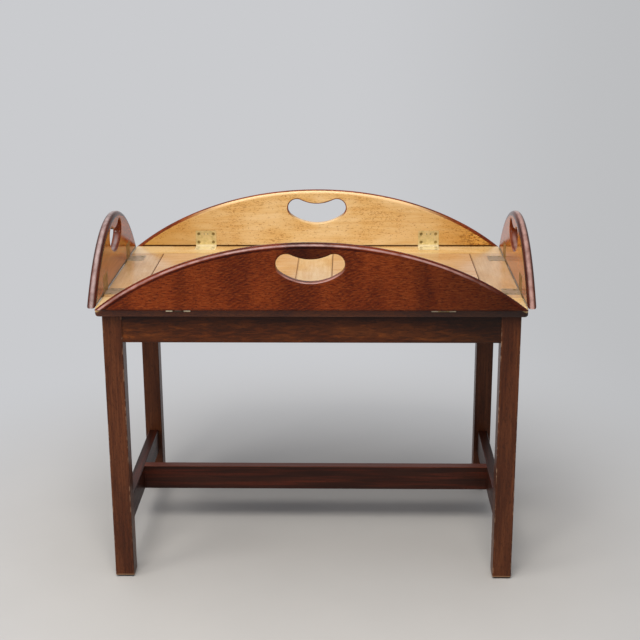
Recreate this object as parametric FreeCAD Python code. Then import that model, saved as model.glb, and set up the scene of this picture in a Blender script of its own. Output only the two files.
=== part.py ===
import FreeCAD, Part
import math
import os

# Butlers tray table: a flush framed tray with four hinged leaves on a plain H-stretcher stand.
# Millimetres. +X along the table, +Y to its back, +Z up, origin on the floor under the centre.
V = FreeCAD.Vector
ORIGIN = V(0, 0, 0)
X_AXIS = V(1, 0, 0)
Y_AXIS = V(0, 1, 0)
Z_AXIS = V(0, 0, 1)
tiny = 1e-4

# Stand
stand_length = 660.0
stand_depth = 394.0
stand_height = 457.0
leg_side = 31.0
leg_ease = 1.6
sole_chamfer = 3.5
apron_height = 45.5
apron_thickness = 18.0
apron_setback = 2.0
stretcher_height = 43.5
stretcher_thickness = 17.0
stretcher_lift = 77.0
rail_ease = 1.2
tenon_thickness = 8.0
tenon_shoulder = 7.0
tenon_wall = 2.0

# Tray
tray_overhang_length = 9.0
tray_overhang_depth = 10.5
tray_thickness = 16.0
tray_corner_radius = 6.0
tray_lower_round = 4.5
tray_upper_round = 4.0
rail_width = 60.0
muntin_width = 60.0
joint_gap = 0.3
panel_bevel = 1.2
tongue_thickness = 5.0
tongue_length = 8.0
tongue_slack = 0.5
cleat_width = 20.0
cleat_thickness = 12.0
cleat_clearance = 0.5
cleat_screw_inset = 40.0
cleat_screw_length = 22.0
cleat_screw_radius = 2.0
cleat_screw_head = 4.0

# Leaves
leaf_width = 108.0
leaf_thickness = 14.5
leaf_round = 6.5
leaf_foot_lap = 2.2
leaf_foot_round = 3.5
handle_width = 107.0
handle_lobe_radius = 16.5
handle_lobe_height = 74.3
handle_dip_height = 82.1
handle_bottom_height = 45.7
handle_ease = 3.0

# Hinges
hinge_width = 38.0
hinge_reach = 32.5
hinge_spacing_long = 414.0
hinge_spacing_short = 224.0
plate_thickness = 2.0
plate_clearance = 0.1
centre_knuckle_length = 17.5
knuckle_radius = 3.0
knuckle_side_gap = 0.25
knuckle_room = 0.5
pin_drop = 3.2
pin_out = 1.6
pin_radius = 1.2
pin_running_clearance = 0.05
cam_flat = 2.65
screw_spacing = 27.0
screw_row_near = 10.8
screw_row_far = 26.3
screw_head_radius = 3.0
screw_shank_radius = 1.5
screw_sink = 0.1
screw_hole_clearance = 0.05
tray_screw_length = 11.0
leaf_screw_length = 9.0
spring_width = 9.0
spring_thickness = 0.6
spring_top = 29.5
spring_bend_far = 10.0
spring_bend_near = 5.5
spring_tail = 1.0
spring_lift = 0.3
spring_room = 0.4
rivet_radius = 1.0
rivet_spacing = 6.6
rivet_head = 0.4

# Derived sizes
half_length = stand_length / 2
half_depth = stand_depth / 2
leg_inner_x = half_length - leg_side
leg_inner_y = half_depth - leg_side
apron_foot = stand_height - apron_height
tenon_inset = apron_setback + apron_thickness / 2 + tenon_thickness / 2
tenon_length = leg_side - tenon_inset - tenon_wall
stretcher_x = half_length - leg_side / 2
stretcher_top = stretcher_lift + stretcher_height
tray_half_length = half_length + tray_overhang_length
tray_half_depth = half_depth + tray_overhang_depth
tray_top = stand_height + tray_thickness
rail_inner_y = tray_half_depth - rail_width
end_rail_inner_x = tray_half_length - rail_width
tongue_low = stand_height + (tray_thickness - tongue_thickness) / 2
tongue_high = tongue_low + tongue_thickness
groove_depth = tongue_length + tongue_slack
tenon_end_y = rail_inner_y + tongue_length
end_tenon_x = tray_half_length - tray_corner_radius
cleat_outer_x = half_length - apron_setback - apron_thickness - cleat_clearance
cleat_half = leg_inner_y - cleat_clearance
cleat_foot = stand_height - cleat_thickness
leaf_edge = pin_drop - leaf_foot_lap
leaf_reach = pin_out + leaf_edge + leaf_width
oval_half_length = tray_half_length + leaf_reach
oval_half_depth = tray_half_depth + leaf_reach
plate_floor = pin_drop - plate_thickness
knuckle_swing = knuckle_radius + knuckle_room
plate_shoulder = pin_drop + knuckle_room
outer_knuckle_from = centre_knuckle_length / 2 + knuckle_side_gap
screw_hole_radius = screw_shank_radius + screw_hole_clearance

# The four edges of the tray. Each hinge line has its own frame, with x along the edge, y outward and z up.
SIDES = {
    "front": {"turn": 180, "reach": tray_half_depth, "along": oval_half_length, "out": oval_half_depth,
              "hinges": hinge_spacing_long / 2},
    "rear": {"turn": 0, "reach": tray_half_depth, "along": oval_half_length, "out": oval_half_depth,
             "hinges": hinge_spacing_long / 2},
    "left": {"turn": 90, "reach": tray_half_length, "along": oval_half_depth, "out": oval_half_length,
             "hinges": hinge_spacing_short / 2},
    "right": {"turn": -90, "reach": tray_half_length, "along": oval_half_depth, "out": oval_half_length,
              "hinges": hinge_spacing_short / 2},
}


def block(x0, x1, y0, y1, z0, z1):
    return Part.makeBox(x1 - x0, y1 - y0, z1 - z0, V(x0, y0, z0))


def rod(radius, x0, x1):
    return Part.makeCylinder(radius, x1 - x0, V(x0, 0, 0), X_AXIS)


def moved(shape, x=0.0, y=0.0, z=0.0):
    copy = shape.copy()
    copy.translate(V(x, y, z))
    return copy


def mirrored(shape, normal):
    return shape.mirror(ORIGIN, normal)


def edges_along(shape, direction):
    # straight edges that run in one direction
    found = []
    for edge in shape.Edges:
        straight = edge.Curve.TypeId == "Part::GeomLine"
        if straight and edge.tangentAt(edge.FirstParameter).cross(direction).Length < tiny:
            found.append(edge)
    return found


def edges_at_height(shape, height):
    return [edge for edge in shape.Edges
            if abs(edge.BoundBox.ZMin - height) < tiny and abs(edge.BoundBox.ZMax - height) < tiny]


def prism(points, x0, x1):
    # a closed outline of (y, z) points, drawn out along x
    wire = Part.makePolygon([V(x0, y, z) for y, z in points + points[:1]])
    return Part.Face(wire).extrude(V(x1 - x0, 0, 0))


def turned_screw(head_radius, shank_radius, length):
    # countersunk head at z = 0 with a straight shank below
    cone = head_radius - shank_radius
    outline = [ORIGIN, V(head_radius, 0, 0), V(shank_radius, 0, -cone)]
    outline += [V(shank_radius, 0, -length), V(0, 0, -length)]
    face = Part.Face(Part.makePolygon(outline + outline[:1]))
    return face.revolve(ORIGIN, Z_AXIS, 360)


def countersink(head_radius, hole_radius, length, sink):
    # the room for a screw whose head lies a little below the surface at z = 0
    cone = Part.makeCone(head_radius + sink, hole_radius, head_radius + sink - hole_radius, ORIGIN, -Z_AXIS)
    hole = Part.makeCylinder(hole_radius, length, ORIGIN, -Z_AXIS)
    return cone.fuse(hole)


# Stand pieces
def apron_tenon_span():
    return apron_foot + tenon_shoulder, stand_height - tenon_shoulder


def stretcher_tenon_span():
    return stretcher_lift + tenon_shoulder, stretcher_top - tenon_shoulder


def front_apron_tenon():
    # the tenon at the right end of the front apron, which also cuts the leg's mortise
    low, high = apron_tenon_span()
    centre = -half_depth + apron_setback + apron_thickness / 2
    half = tenon_thickness / 2
    return block(leg_inner_x, leg_inner_x + tenon_length, centre - half, centre + half, low, high)


def side_apron_tenon():
    low, high = apron_tenon_span()
    centre = half_length - apron_setback - apron_thickness / 2
    half = tenon_thickness / 2
    return block(centre - half, centre + half, -leg_inner_y - tenon_length, -leg_inner_y, low, high)


def side_stretcher_tenon():
    low, high = stretcher_tenon_span()
    half = tenon_thickness / 2
    return block(stretcher_x - half, stretcher_x + half, -leg_inner_y - tenon_length, -leg_inner_y, low, high)


def centre_stretcher_tenon():
    low, high = stretcher_tenon_span()
    shoulder = stretcher_x - stretcher_thickness / 2
    end = stretcher_x + stretcher_thickness / 2 - 2 * tenon_wall
    return block(shoulder, end, -tenon_thickness / 2, tenon_thickness / 2, low, high)


def leg_section(inset, height):
    # the leg's rounded square, drawn in by an inset
    half = leg_side / 2 - inset
    middle = V(half_length - leg_side / 2, -half_depth + leg_side / 2, height)
    flat = half - leg_ease
    skew = half - leg_ease + leg_ease * math.sqrt(0.5)
    edges = []
    for turn in range(4):
        spin = FreeCAD.Rotation(Z_AXIS, 90 * turn)
        side = [V(half, -flat, 0), V(half, flat, 0), V(skew, skew, 0), V(flat, half, 0)]
        a, b, c, d = [middle + spin.multVec(point) for point in side]
        edges += [Part.makeLine(a, b), Part.Arc(b, c, d).toShape()]
    return Part.Wire(edges)


def front_right_leg():
    sections = [leg_section(sole_chamfer, 0), leg_section(0, sole_chamfer), leg_section(0, stand_height)]
    post = Part.makeLoft(sections, True, True)
    for tenon in (front_apron_tenon(), side_apron_tenon(), side_stretcher_tenon()):
        post = post.cut(tenon)
    return post


def eased_bar(bar, direction):
    # takes the sharp edge off the four long arrises
    return bar.makeFillet(rail_ease, edges_along(bar, direction))


def front_apron():
    outer = -half_depth + apron_setback
    bar = block(-leg_inner_x, leg_inner_x, outer, outer + apron_thickness, apron_foot, stand_height)
    bar = eased_bar(bar, X_AXIS)
    tenon = front_apron_tenon()
    return bar.fuse([tenon, mirrored(tenon, X_AXIS)]).removeSplitter()


def right_apron():
    outer = half_length - apron_setback
    bar = block(outer - apron_thickness, outer, -leg_inner_y, leg_inner_y, apron_foot, stand_height)
    bar = eased_bar(bar, Y_AXIS)
    tenon = side_apron_tenon()
    return bar.fuse([tenon, mirrored(tenon, Y_AXIS)]).removeSplitter()


def right_stretcher():
    half = stretcher_thickness / 2
    inner = stretcher_x - half
    outer = stretcher_x + half
    bar = block(inner, outer, -leg_inner_y, leg_inner_y, stretcher_lift, stretcher_top)
    bar = eased_bar(bar, Y_AXIS)
    tenon = side_stretcher_tenon()
    bar = bar.fuse([tenon, mirrored(tenon, Y_AXIS)]).removeSplitter()
    return bar.cut(centre_stretcher_tenon())


def centre_stretcher():
    shoulder = stretcher_x - stretcher_thickness / 2
    half = stretcher_thickness / 2
    bar = block(-shoulder, shoulder, -half, half, stretcher_lift, stretcher_top)
    bar = eased_bar(bar, X_AXIS)
    tenon = centre_stretcher_tenon()
    return bar.fuse([tenon, mirrored(tenon, X_AXIS)]).removeSplitter()


# Tray pieces, all cut from one board outline so that they lie flush
def board_slab(x0, x1, y0, y1):
    return block(x0, x1, y0, y1, stand_height, tray_top)


def tray_blank():
    board = board_slab(-tray_half_length, tray_half_length, -tray_half_depth, tray_half_depth)
    board = board.makeFillet(tray_corner_radius, edges_along(board, Z_AXIS))
    board = board.makeFillet(tray_lower_round, edges_at_height(board, stand_height))
    return board.makeFillet(tray_upper_round, edges_at_height(board, tray_top))


def tongue_slab(x0, x1, y0, y1):
    return block(x0, x1, y0, y1, tongue_low, tongue_high)


def front_tray_rail(board):
    rail = board.common(board_slab(-tray_half_length, tray_half_length, -tray_half_depth, -rail_inner_y))
    return rail.cut(tongue_slab(-end_tenon_x, end_tenon_x, -rail_inner_y - groove_depth, -rail_inner_y))


def right_tray_rail(board):
    rail = board.common(board_slab(end_rail_inner_x, tray_half_length, -rail_inner_y, rail_inner_y))
    tenon = tongue_slab(end_rail_inner_x + groove_depth, end_tenon_x, -tenon_end_y, tenon_end_y)
    groove = tongue_slab(end_rail_inner_x, end_rail_inner_x + groove_depth, -rail_inner_y, rail_inner_y)
    return rail.fuse(tenon).removeSplitter().cut(groove)


def tray_muntin():
    half = muntin_width / 2
    bar = board_slab(-half, half, -rail_inner_y, rail_inner_y)
    tenon = tongue_slab(-half + groove_depth, half - groove_depth, -tenon_end_y, tenon_end_y)
    bar = bar.fuse(tenon).removeSplitter()
    for edge in (-half, half - groove_depth):
        bar = bar.cut(tongue_slab(edge, edge + groove_depth, -rail_inner_y, rail_inner_y))
    return bar


def right_panel():
    x0 = muntin_width / 2
    x1 = end_rail_inner_x
    y1 = rail_inner_y - joint_gap
    field = board_slab(x0 + joint_gap, x1 - joint_gap, -y1, y1)
    # the ends across the grain are bevelled, which draws the joint lines beside the muntin and the end rails
    ends = [edge for edge in edges_at_height(field, tray_top) if edge.BoundBox.XLength < tiny]
    field = field.makeChamfer(panel_bevel, ends)
    tongue = tongue_slab(x0 - tongue_length, x1 + tongue_length, -tenon_end_y, tenon_end_y)
    return field.fuse(tongue).removeSplitter()


def cleat_screw_places():
    reach = cleat_half - cleat_screw_inset
    return [(cleat_outer_x - cleat_width / 2, y) for y in (-reach, 0, reach)]


def upward(tool, x, y, z):
    # turns a screw or its hole to point up from a lower face
    flipped = tool.copy()
    flipped.rotate(ORIGIN, X_AXIS, 180)
    flipped.translate(V(x, y, z))
    return flipped


def cleat_screw_holes():
    radius = cleat_screw_radius + screw_hole_clearance
    hole = countersink(cleat_screw_head, radius, cleat_screw_length + screw_sink, screw_sink)
    return [upward(hole, x, y, cleat_foot) for x, y in cleat_screw_places()]


def right_cleat():
    bar = block(cleat_outer_x - cleat_width, cleat_outer_x, -cleat_half, cleat_half, cleat_foot, stand_height)
    bar = bar.makeChamfer(rail_ease, edges_at_height(bar, cleat_foot))
    return bar.cut(cleat_screw_holes())


def right_cleat_screws():
    screw = turned_screw(cleat_screw_head, cleat_screw_radius, cleat_screw_length)
    return [upward(screw, x, y, cleat_foot + screw_sink) for x, y in cleat_screw_places()]


# Hinge pieces, in the hinge line's frame with the leaf lying level
def screw_places(direction):
    half = screw_spacing / 2
    return [(x, direction * y) for x in (-half, half) for y in (screw_row_near, screw_row_far)]


def screw_cuts(length, direction):
    hole = countersink(screw_head_radius, screw_hole_radius, length + screw_sink, screw_sink)
    return [moved(hole, x, y, pin_drop) for x, y in screw_places(direction)]


def hinge_screws(length, direction):
    screw = turned_screw(screw_head_radius, screw_shank_radius, length)
    return [moved(screw, x, y, pin_drop - screw_sink) for x, y in screw_places(direction)]


def plate_slab(x0, x1, y0, y1):
    return block(x0, x1, y0, y1, plate_floor, pin_drop)


def tray_plate():
    half = hinge_width / 2
    centre = centre_knuckle_length / 2
    plate = plate_slab(-half, half, -hinge_reach, -plate_shoulder)
    plate = plate.fuse([plate_slab(-centre, centre, -plate_shoulder, 0), cam_knuckle(centre)]).removeSplitter()
    plate = plate.cut(rod(pin_radius + pin_running_clearance, -half, half))
    return plate.cut(screw_cuts(tray_screw_length, -1))


def cam_knuckle(half):
    # two flats at right angles, where the spring rests with the leaf upright and with it level
    barrel = rod(knuckle_radius, -half, half)
    square = block(-half, half, -knuckle_radius, cam_flat, -cam_flat, knuckle_radius)
    return barrel.common(square)


def leaf_plate():
    half = hinge_width / 2
    plate = plate_slab(-half, half, plate_shoulder, hinge_reach)
    for x0, x1 in ((-half, -outer_knuckle_from), (outer_knuckle_from, half)):
        plate = plate.fuse([plate_slab(x0, x1, 0, plate_shoulder), rod(knuckle_radius, x0, x1)])
    plate = plate.removeSplitter().cut(rod(pin_radius + pin_running_clearance, -half, half))
    plate = plate.cut(screw_cuts(leaf_screw_length, 1))
    return plate.cut([rivet(screw_hole_clearance, x) for x in rivet_places()])


def rivet_places():
    return (-rivet_spacing / 2, rivet_spacing / 2)


def rivet(clearance, x):
    foot = plate_floor - spring_thickness - rivet_head
    return Part.makeCylinder(rivet_radius + clearance, pin_drop - foot, V(x, screw_row_far, foot))


def hinge_pin():
    return rod(pin_radius, -hinge_width / 2, hinge_width / 2)


def detent_spring():
    # a flat strip behind the leaf plate, set out to pass the cam, with its two rivets
    low = -(knuckle_radius + spring_lift)
    upper = [(spring_top, plate_floor), (spring_bend_far, plate_floor)]
    upper += [(spring_bend_near, low), (-spring_tail, low)]
    lower = [(y, z - spring_thickness) for y, z in reversed(upper)]
    strip = prism(upper + lower, -spring_width / 2, spring_width / 2)
    return strip.fuse([rivet(0, x) for x in rivet_places()]).removeSplitter()


def plate_mortise(direction):
    # the room for a plate and for the barrel beside it
    half = hinge_width / 2 + plate_clearance
    far = hinge_reach + plate_clearance
    y0, y1 = sorted((0, direction * far))
    barrel = rod(knuckle_swing, -half - knuckle_side_gap, half + knuckle_side_gap)
    return block(-half, half, y0, y1, plate_floor, pin_drop + plate_thickness).fuse(barrel)


def spring_mortise():
    half = spring_width / 2 + spring_room
    floor = plate_floor - spring_thickness - rivet_head
    low = -(knuckle_radius + spring_lift + spring_thickness + spring_room)
    top = spring_top + spring_room
    outline = [(0, plate_floor), (top, plate_floor), (top, floor)]
    outline += [(spring_bend_far, floor), (spring_bend_far, low), (0, low)]
    return prism(outline, -half, half)


# Leaves, level, in the hinge line's frame
def oval_edge(side):
    centre = V(0, -(side["reach"] + pin_out), 0)
    ends = [centre + V(side["along"], 0, 0), centre + V(0, side["out"], 0)]
    if side["along"] < side["out"]:
        ends = [centre + V(0, side["out"], 0), centre - V(side["along"], 0, 0)]
    return Part.Ellipse(ends[0], ends[1], centre)


def leaf_face(side):
    # the straight edge is the chord that the board's side cuts off the oval
    oval = oval_edge(side)
    chord = side["reach"] + pin_out + leaf_edge
    x = side["along"] * math.sqrt(1 - (chord / side["out"]) ** 2)
    left = V(-x, leaf_edge, 0)
    right = V(x, leaf_edge, 0)
    first = oval.parameter(right)
    last = oval.parameter(left)
    if first > last:
        first -= 2 * math.pi
    return Part.Face(Part.Wire([Part.makeLine(left, right), oval.toShape(first, last)]))


def handle_face():
    # round lobes at the ends, a full lower edge and an upper edge that dips between the lobes
    spread = handle_width / 2 - handle_lobe_radius
    lobe = V(spread, leaf_edge + handle_lobe_height, 0)
    dip = V(0, leaf_edge + handle_dip_height, 0)
    bottom = V(0, leaf_edge + handle_bottom_height, 0)
    upper_centre = V(0, arc_centre(lobe, dip.y - handle_lobe_radius), 0)
    lower_centre = V(0, arc_centre(lobe, bottom.y + handle_lobe_radius), 0)
    top = lobe + (upper_centre - lobe).normalize() * handle_lobe_radius
    low = lobe + (lobe - lower_centre).normalize() * handle_lobe_radius
    side = lobe + V(handle_lobe_radius, 0, 0)
    flip = lambda point: V(-point.x, point.y, 0)
    edges = [Part.Arc(flip(low), bottom, low).toShape(), Part.Arc(low, side, top).toShape(),
             Part.Arc(top, dip, flip(top)).toShape(), Part.Arc(flip(top), flip(side), flip(low)).toShape()]
    return Part.Face(Part.Wire(edges))


def arc_centre(lobe, height):
    # height of the point on x = 0 that is as far from (0, height) as from the lobe's centre
    return (lobe.x ** 2 + lobe.y ** 2 - height ** 2) / (2 * (lobe.y - height))


def leaf_board(side):
    depth = V(0, 0, -leaf_thickness)
    board = leaf_face(side).extrude(depth)
    rim = [edge for edge in board.Edges if edge.BoundBox.ZLength < tiny and edge.BoundBox.YLength > tiny]
    board = board.makeFillet(leaf_round, rim)
    board = board.common(rounded_foot(side))
    hole = handle_face().extrude(depth)
    board = board.cut(hole)
    board = board.makeFillet(handle_ease, handle_rim(board, hole))
    return moved(board, z=pin_drop)


def rounded_foot(side):
    # a block that covers the leaf and rounds the two arrises of its straight edge
    room = block(-side["along"], side["along"], leaf_edge, leaf_edge + 2 * leaf_width, -leaf_thickness, 0)
    arrises = [edge for edge in edges_along(room, X_AXIS) if edge.BoundBox.YMin < leaf_edge + tiny]
    return room.makeFillet(leaf_foot_round, arrises)


def handle_rim(board, hole):
    reach = hole.BoundBox
    reach.enlarge(tiny)
    return [edge for edge in board.Edges if edge.BoundBox.ZLength < tiny and reach.isInside(edge.BoundBox)]


def leaf(side):
    board = leaf_board(side)
    cuts = [plate_mortise(1), spring_mortise()] + screw_cuts(leaf_screw_length, 1)
    for x in (-side["hinges"], side["hinges"]):
        board = board.cut([moved(cut, x) for cut in cuts])
    return board


# Placing
def seated(shape, side):
    # from the hinge line's frame to the table
    placed = moved(shape, y=side["reach"] + pin_out, z=tray_top - pin_drop)
    placed.rotate(ORIGIN, Z_AXIS, side["turn"])
    return placed


def raised(shape):
    # from lying level to standing upright, about the pin
    upright = shape.copy()
    upright.rotate(ORIGIN, X_AXIS, 90)
    return upright


def tray_hinge_cuts(side):
    cuts = [plate_mortise(-1)] + screw_cuts(tray_screw_length, -1)
    return [seated(moved(cut, x), side) for x in (-side["hinges"], side["hinges"]) for cut in cuts]


def export(name, shapes):
    shape = shapes[0] if len(shapes) == 1 else Part.makeCompound(shapes)
    for solid in shape.Solids:
        if not solid.isValid():
            raise ValueError(name + " is not a valid solid")
    shape.exportStep("parts/" + name + ".step")
    print(name, len(shape.Solids), "solids", round(shape.Volume / 1000, 1), "cm3")


def build_stand():
    leg = front_right_leg()
    export("leg_front_right", [leg])
    export("leg_front_left", [mirrored(leg, X_AXIS)])
    export("leg_rear_right", [mirrored(leg, Y_AXIS)])
    export("leg_rear_left", [mirrored(mirrored(leg, Y_AXIS), X_AXIS)])
    apron = front_apron()
    export("apron_front", [apron])
    export("apron_rear", [mirrored(apron, Y_AXIS)])
    for name, piece in (("apron", right_apron()), ("stretcher", right_stretcher())):
        export(name + "_right", [piece])
        export(name + "_left", [mirrored(piece, X_AXIS)])
    export("stretcher_center", [centre_stretcher()])


def build_tray():
    board = tray_blank()
    front = front_tray_rail(board)
    right = right_tray_rail(board)
    rails = {"front": front, "rear": mirrored(front, Y_AXIS), "right": right, "left": mirrored(right, X_AXIS)}
    cleat_holes = {"right": cleat_screw_holes()}
    cleat_holes["left"] = [mirrored(hole, X_AXIS) for hole in cleat_holes["right"]]
    # every rail takes every hinge's cuts, so a hinge set near a corner is let into both rails
    hinge_cuts = [cut for side in SIDES.values() for cut in tray_hinge_cuts(side)]
    for name, rail in rails.items():
        export("tray_rail_" + name, [rail.cut(hinge_cuts + cleat_holes.get(name, []))])
    export("tray_muntin", [tray_muntin()])
    for name, piece in (("tray_panel", right_panel()), ("cleat", right_cleat())):
        export(name + "_right", [piece])
        export(name + "_left", [mirrored(piece, X_AXIS)])
    screws = right_cleat_screws()
    export("cleat_screws", screws + [mirrored(screw, X_AXIS) for screw in screws])


def build_leaves():
    tray_screws = []
    for name, side in SIDES.items():
        ends = (-side["hinges"], side["hinges"])
        export("leaf_" + name, [seated(raised(leaf(side)), side)])
        for number, x in enumerate(ends, 1):
            export("hinge_%s_%d_tray_plate" % (name, number), [seated(moved(tray_plate(), x), side)])
            export("hinge_%s_%d_leaf_plate" % (name, number), [seated(raised(moved(leaf_plate(), x)), side)])
        export("hinge_pins_" + name, [seated(moved(hinge_pin(), x), side) for x in ends])
        export("hinge_springs_" + name, [seated(raised(moved(detent_spring(), x)), side) for x in ends])
        leaf_screws = [moved(screw, x) for x in ends for screw in hinge_screws(leaf_screw_length, 1)]
        export("leaf_screws_" + name, [seated(raised(screw), side) for screw in leaf_screws])
        edge_screws = [moved(screw, x) for x in ends for screw in hinge_screws(tray_screw_length, -1)]
        tray_screws += [seated(screw, side) for screw in edge_screws]
    export("tray_screws", tray_screws)


os.makedirs("parts", exist_ok=True)
build_stand()
build_tray()
build_leaves()
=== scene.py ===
import math

import bmesh
import bpy
from mathutils import Matrix, Vector


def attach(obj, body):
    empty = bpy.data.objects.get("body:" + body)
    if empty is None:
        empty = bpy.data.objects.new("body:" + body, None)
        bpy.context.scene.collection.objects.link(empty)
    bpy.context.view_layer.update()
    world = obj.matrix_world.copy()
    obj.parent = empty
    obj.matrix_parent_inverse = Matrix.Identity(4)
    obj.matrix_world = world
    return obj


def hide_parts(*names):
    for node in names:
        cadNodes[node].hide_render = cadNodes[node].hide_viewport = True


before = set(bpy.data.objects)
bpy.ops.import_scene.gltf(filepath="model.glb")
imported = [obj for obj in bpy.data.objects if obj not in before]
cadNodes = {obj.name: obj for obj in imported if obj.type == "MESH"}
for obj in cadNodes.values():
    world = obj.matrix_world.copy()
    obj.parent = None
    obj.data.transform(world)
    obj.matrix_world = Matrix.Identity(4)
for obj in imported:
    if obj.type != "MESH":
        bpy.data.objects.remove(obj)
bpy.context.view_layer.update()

# Looks of a butlers tray table: dark polish outside, sun-faded honey inside, brass hinges.
scene = bpy.context.scene
scene.view_settings.view_transform = "Standard"
tableSides = ("front", "rear", "left", "right")
metre = 1000  # in mm, the unit of patterns and screws
print("frame loaded:", len(cadNodes), "nodes")


def linear(hexCode):
    # sRGB hex to the linear colour that a socket takes
    channels = [int(hexCode[i:i + 2], 16) / 255 for i in (1, 3, 5)]
    return [c / 12.92 if c <= 0.04045 else ((c + 0.055) / 1.055) ** 2.4 for c in channels] + [1.0]


def add(tree, kind, sockets=None, **settings):
    # one node: its settings first, then each socket gets a fixed value or a link
    node = tree.nodes.new(kind)
    for name, value in settings.items():
        setattr(node, name, value)
    for key, value in (sockets or {}).items():
        if isinstance(value, bpy.types.NodeSocket):
            tree.links.new(value, node.inputs[key])
        else:
            node.inputs[key].default_value = value
    return node


def softMask(tree, *steps):
    # product of soft steps: each is a value with the span that takes it from 0 to 1,
    # or a mask or a share taken as it is
    mask = None
    for step in steps:
        if isinstance(step, tuple):
            value, span = step
            step = add(tree, "ShaderNodeMapRange", {"Value": value, "From Min": span[0],
                       "From Max": span[1]}, interpolation_type="SMOOTHSTEP").outputs[0]
        if mask is not None:
            step = add(tree, "ShaderNodeMath", {0: mask, 1: step}, operation="MULTIPLY").outputs[0]
        mask = step
    return mask


def newMaterial(name):
    material = bpy.data.materials.new(name)
    material.use_nodes = True
    material.node_tree.nodes.clear()
    return material, material.node_tree


def fillRamp(ramp, stops):
    elements = ramp.color_ramp.elements
    while len(elements) < len(stops):
        elements.new(0.5)
    for element, (place, hexCode) in zip(elements, stops):
        element.position = place
        element.color = linear(hexCode)


def dress(material, *names):
    for name in names:
        slots = cadNodes[name].data.materials
        slots.clear()
        slots.append(material)


# Mahogany, planed and French polished dark: fine orange and dark flecks, and patches of curl leaning
# across the grain. Sizes are mm along and across; pores are drawn about four times too wide, or they
# would not show.
darkMahogany = {
    "ramp": ((0.32, "#60230B"), (0.5, "#75300F"), (0.68, "#8B451D")),
    "streakSize": (11, 1.4), "toneSize": (75, 240), "tone": "#E0D6D0",
    "pore": "#34110A", "poreShare": 0.65, "poreSize": (6, 1.3), "poreFrom": (0.54, 0.6), "gather": 0.25,
    "curlSize": 5, "curlDepth": 0.32, "curlLean": 30,
}
# The same timber where sun has faded it to honey under clear polish, its pores left as brown flecks.
fadedMahogany = {
    "ramp": ((0.3, "#CBA872"), (0.5, "#D1B280"), (0.7, "#D6BB8E")),
    "streakSize": (60, 5), "toneSize": (80, 45), "tone": "#F9EFDA",
    "pore": "#84541E", "poreShare": 0.6, "poreSize": (4, 1.5), "poreFrom": (0.61, 0.65), "gather": 0.3,
    "curlSize": 9, "curlDepth": 0.03, "curlLean": 15,
}
# The side leaves have faded less and show little grain, the rear leaf keeps a brown speckled end, and the
# board's panels, end rails and muntin are from darker planks than its long rails.
duskyMahogany = dict(fadedMahogany, ramp=((0.3, "#A6602A"), (0.5, "#B26A2E"), (0.7, "#BE7436")),
                     pore="#7A4A22", poreShare=0.15, streakSize=(140, 9))
speckledMahogany = dict(fadedMahogany, ramp=((0.3, "#B07A36"), (0.5, "#C6954C"), (0.7, "#D4A964")),
                        pore="#5E3210", poreShare=0.8, poreSize=(5, 2.2), poreFrom=(0.5, 0.58))
panelMahogany = dict(fadedMahogany, ramp=((0.3, "#B58E63"), (0.5, "#BD986F"), (0.7, "#C5A27B")),
                     poreShare=0.4)
endMahogany = dict(panelMahogany, ramp=((0.3, "#AF8C61"), (0.5, "#B8966B"), (0.7, "#C1A075")))
muntinMahogany = dict(fadedMahogany, ramp=((0.3, "#BC986C"), (0.5, "#C3A276"), (0.7, "#CAAC82")),
                      poreShare=0.4)
# The board's dark edge is browner than the leaves and has much less curl.
edgeMahogany = dict(darkMahogany, ramp=((0.3, "#4E240B"), (0.5, "#602D0E"), (0.7, "#723A15")), curlDepth=0.1)
# The stand's mahogany is waxed: browner and quieter, with fine dark pores. Its aprons have a bolder
# figure, and its stretchers are nearly black with a few red streaks.
legMahogany = {
    "ramp": ((0.3, "#462312"), (0.5, "#542C17"), (0.7, "#65391F")),
    "streakSize": (90, 3.2), "toneSize": (200, 30), "tone": "#D6CAC2",
    "pore": "#2A1409", "poreShare": 0.55, "poreSize": (7, 1.2), "poreFrom": (0.53, 0.63), "gather": 0.2,
    "curlSize": 8, "curlDepth": 0.06, "curlLean": 12,
}
apronMahogany = dict(legMahogany, ramp=((0.3, "#43200A"), (0.5, "#572B0F"), (0.7, "#733C16")),
                     streakSize=(32, 5), poreSize=(9, 1.5), poreShare=0.6, curlDepth=0.2)
stretcherMahogany = dict(legMahogany, ramp=((0.3, "#240F09"), (0.5, "#34170D"), (0.72, "#552213")),
                         streakSize=(150, 6))

# What all the mahoganies share: how their noises are stirred, which noise counts as a patch of the
# second tone, a noise's middle value, and the mm between a wave's bands at scale 1.
grainLook = {
    "streak": {"Detail": 4, "Roughness": 0.6, "Distortion": 0.5}, "tone": {"Detail": 2},
    "pore": {"Detail": 2, "Roughness": 0.5, "Distortion": 0.8},
    "curl": {"Distortion": 11, "Detail": 3, "Detail Scale": 0.4, "Detail Roughness": 0.6},
    "patchFrom": (0.4, 0.62), "middle": 0.5, "waveSpacing": 314,
}
# turns a piece so that its grain runs along the pattern's x
grainTurn = {"x": (0, 0, 0), "y": (0, 0, -math.pi / 2), "z": (0, math.pi / 2, 0)}


def grainPlace(tree, along, offset):
    # where a point is, in metres, and where it is in the plank that the piece was cut from
    spot = add(tree, "ShaderNodeTexCoord").outputs["Object"]
    turned = add(tree, "ShaderNodeMapping", {"Vector": spot, "Rotation": grainTurn[along],
                 "Location": offset})
    return spot, turned.outputs[0]


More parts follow.
